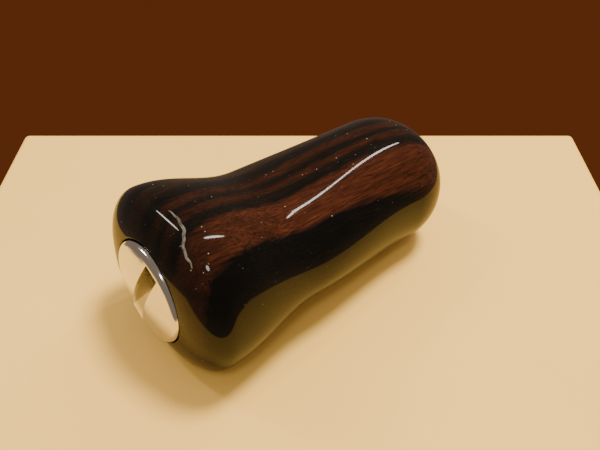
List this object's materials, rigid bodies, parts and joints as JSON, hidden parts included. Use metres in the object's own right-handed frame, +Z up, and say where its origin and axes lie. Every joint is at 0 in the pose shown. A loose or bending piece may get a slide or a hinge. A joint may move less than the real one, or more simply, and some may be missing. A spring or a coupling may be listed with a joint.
{
  "type": "wood edge slicker",
  "caption": "Waisted lacquered hardwood edge slicker grip with a slotted metal end cap, turning on ball bearings about a tapped spindle.",
  "frame": {"origin": "middle of the spindle's flat mounting face, on the spin axis", "axes": "+X along the spin axis, out of the mounting end; +Z up as the grip lies flat; Y across the grip's wide direction"},
  "size_m": [0.0371, 0.0206, 0.0176],
  "materials": {
    "lacquered_wood": "dark streaked hardwood under clear gloss lacquer",
    "cap": "polished, with fine handling marks",
    "liner": "turned, bright",
    "ring": "turned, satin",
    "seal": "matt black",
    "spindle": "ground",
    "spacer": "drawn tube",
    "shim": "rolled sheet",
    "washer": "stamped",
    "screw": "turned, lightly oiled",
    "race": "ground",
    "ball": "polished",
    "cage": "moulded, natural",
    "shield": "pressed sheet"
  },
  "bodies": {
    "spindle": {"spindle": "spindle", "spacer_tube": "spacer", "outboard_shim": "shim", "inboard_shim": "shim", "plain_washer": "washer", "spring_washer": "washer", "retaining_screw": "screw", "outboard_inner_race": "race", "inboard_inner_race": "race"},
    "grip": {"wood_body": "lacquered_wood", "liner_sleeve": "liner", "inboard_ring": "ring", "outboard_outer_race": "race", "outboard_cap_side_shield": "shield", "outboard_arm_side_shield": "shield", "inboard_outer_race": "race", "inboard_cap_side_shield": "shield", "inboard_arm_side_shield": "shield"},
    "outboard_cage": {"outboard_cage": "cage", "outboard_balls": "ball"},
    "inboard_cage": {"inboard_cage": "cage", "inboard_balls": "ball"},
    "cap_seal": {"cap_o_ring": "seal"},
    "cap": {"end_cap": "cap"}
  },
  "joints": [
    {"name": "grip_spin", "type": "hinge", "parent": "spindle", "child": "grip", "pos_m": [-0.0167, 0, 0], "axis": [1, 0, 0], "continuous": true},
    {"name": "outboard_cage_roll", "type": "hinge", "parent": "spindle", "child": "outboard_cage", "pos_m": [-0.02735, 0, 0], "axis": [1, 0, 0], "continuous": true},
    {"name": "inboard_cage_roll", "type": "hinge", "parent": "spindle", "child": "inboard_cage", "pos_m": [-0.00345, 0, 0], "axis": [1, 0, 0], "continuous": true},
    {"name": "cap_lift", "type": "slide", "parent": "grip", "child": "cap_seal", "axis": [-1, 0, 0], "range_m": [0, 0.00305]},
    {"name": "cap_turn", "type": "hinge", "parent": "cap_seal", "child": "cap", "pos_m": [-0.0362, 0, 0], "axis": [-1, 0, 0], "range_deg": [0, 1440]}
  ],
  "couplings": [
    {"joint": "outboard_cage_roll", "follows": "grip_spin", "ratio": 0.58182},
    {"joint": "inboard_cage_roll", "follows": "grip_spin", "ratio": 0.58182},
    {"joint": "cap_lift", "follows": "cap_turn", "m_per_rad": 0.00011937}
  ]
}
